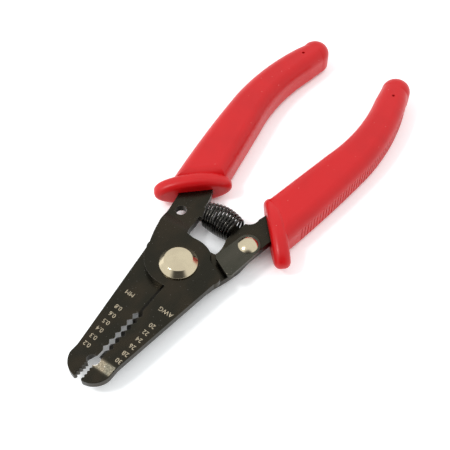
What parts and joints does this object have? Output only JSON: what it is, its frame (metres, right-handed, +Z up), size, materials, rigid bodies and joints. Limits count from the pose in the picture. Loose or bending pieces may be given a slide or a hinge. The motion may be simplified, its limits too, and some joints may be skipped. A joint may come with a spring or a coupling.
{
  "type": "wire stripper",
  "caption": "Plier-type wire stripper: two joggled steel jaws with bevelled notched blades and serrated nose, on a pivot pin, with coil spring, lock lever and moulded grips.",
  "frame": {"origin": "centre of the footprint, in the plane the tool lies on", "axes": "+Y along the tool from the nose to the grips, +Z up through the pivot pin towards the marked side, +X to the right"},
  "size_m": [0.0602, 0.1686, 0.012],
  "materials": {
    "blackened_steel": "black oxide, satin",
    "plated_steel": "nickel plated, polished",
    "spring_wire": "black oxide, glossy",
    "red_grip": "glossy moulded vinyl"
  },
  "bodies": {
    "lower_half": {"lower_jaw_plate": "blackened_steel", "right_grip": "red_grip", "pivot_pin": "plated_steel", "pivot_collar": "plated_steel", "lock_rivet": "plated_steel", "return_spring": "spring_wire"},
    "upper_half": {"upper_jaw_plate": "blackened_steel", "left_grip": "red_grip"},
    "lever": {"lock_lever": "blackened_steel"}
  },
  "joints": [
    {"name": "jaw_pivot", "type": "hinge", "parent": "lower_half", "child": "upper_half", "pos_m": [0, -0.03449, 0.006], "axis": [0, 0, 1], "range_deg": [-2.6, 15], "stiffness_Nm_per_rad": 0.8, "deforming": ["return_spring"]},
    {"name": "lock_swing", "type": "hinge", "parent": "lower_half", "child": "lever", "pos_m": [0.01434, -0.01512, 0.006], "axis": [0, 0, 1], "range_deg": [-10.4, 60]}
  ],
  "couplings": [
    {"joint": "lock_swing", "follows": "jaw_pivot", "ratio": 4}
  ]
}
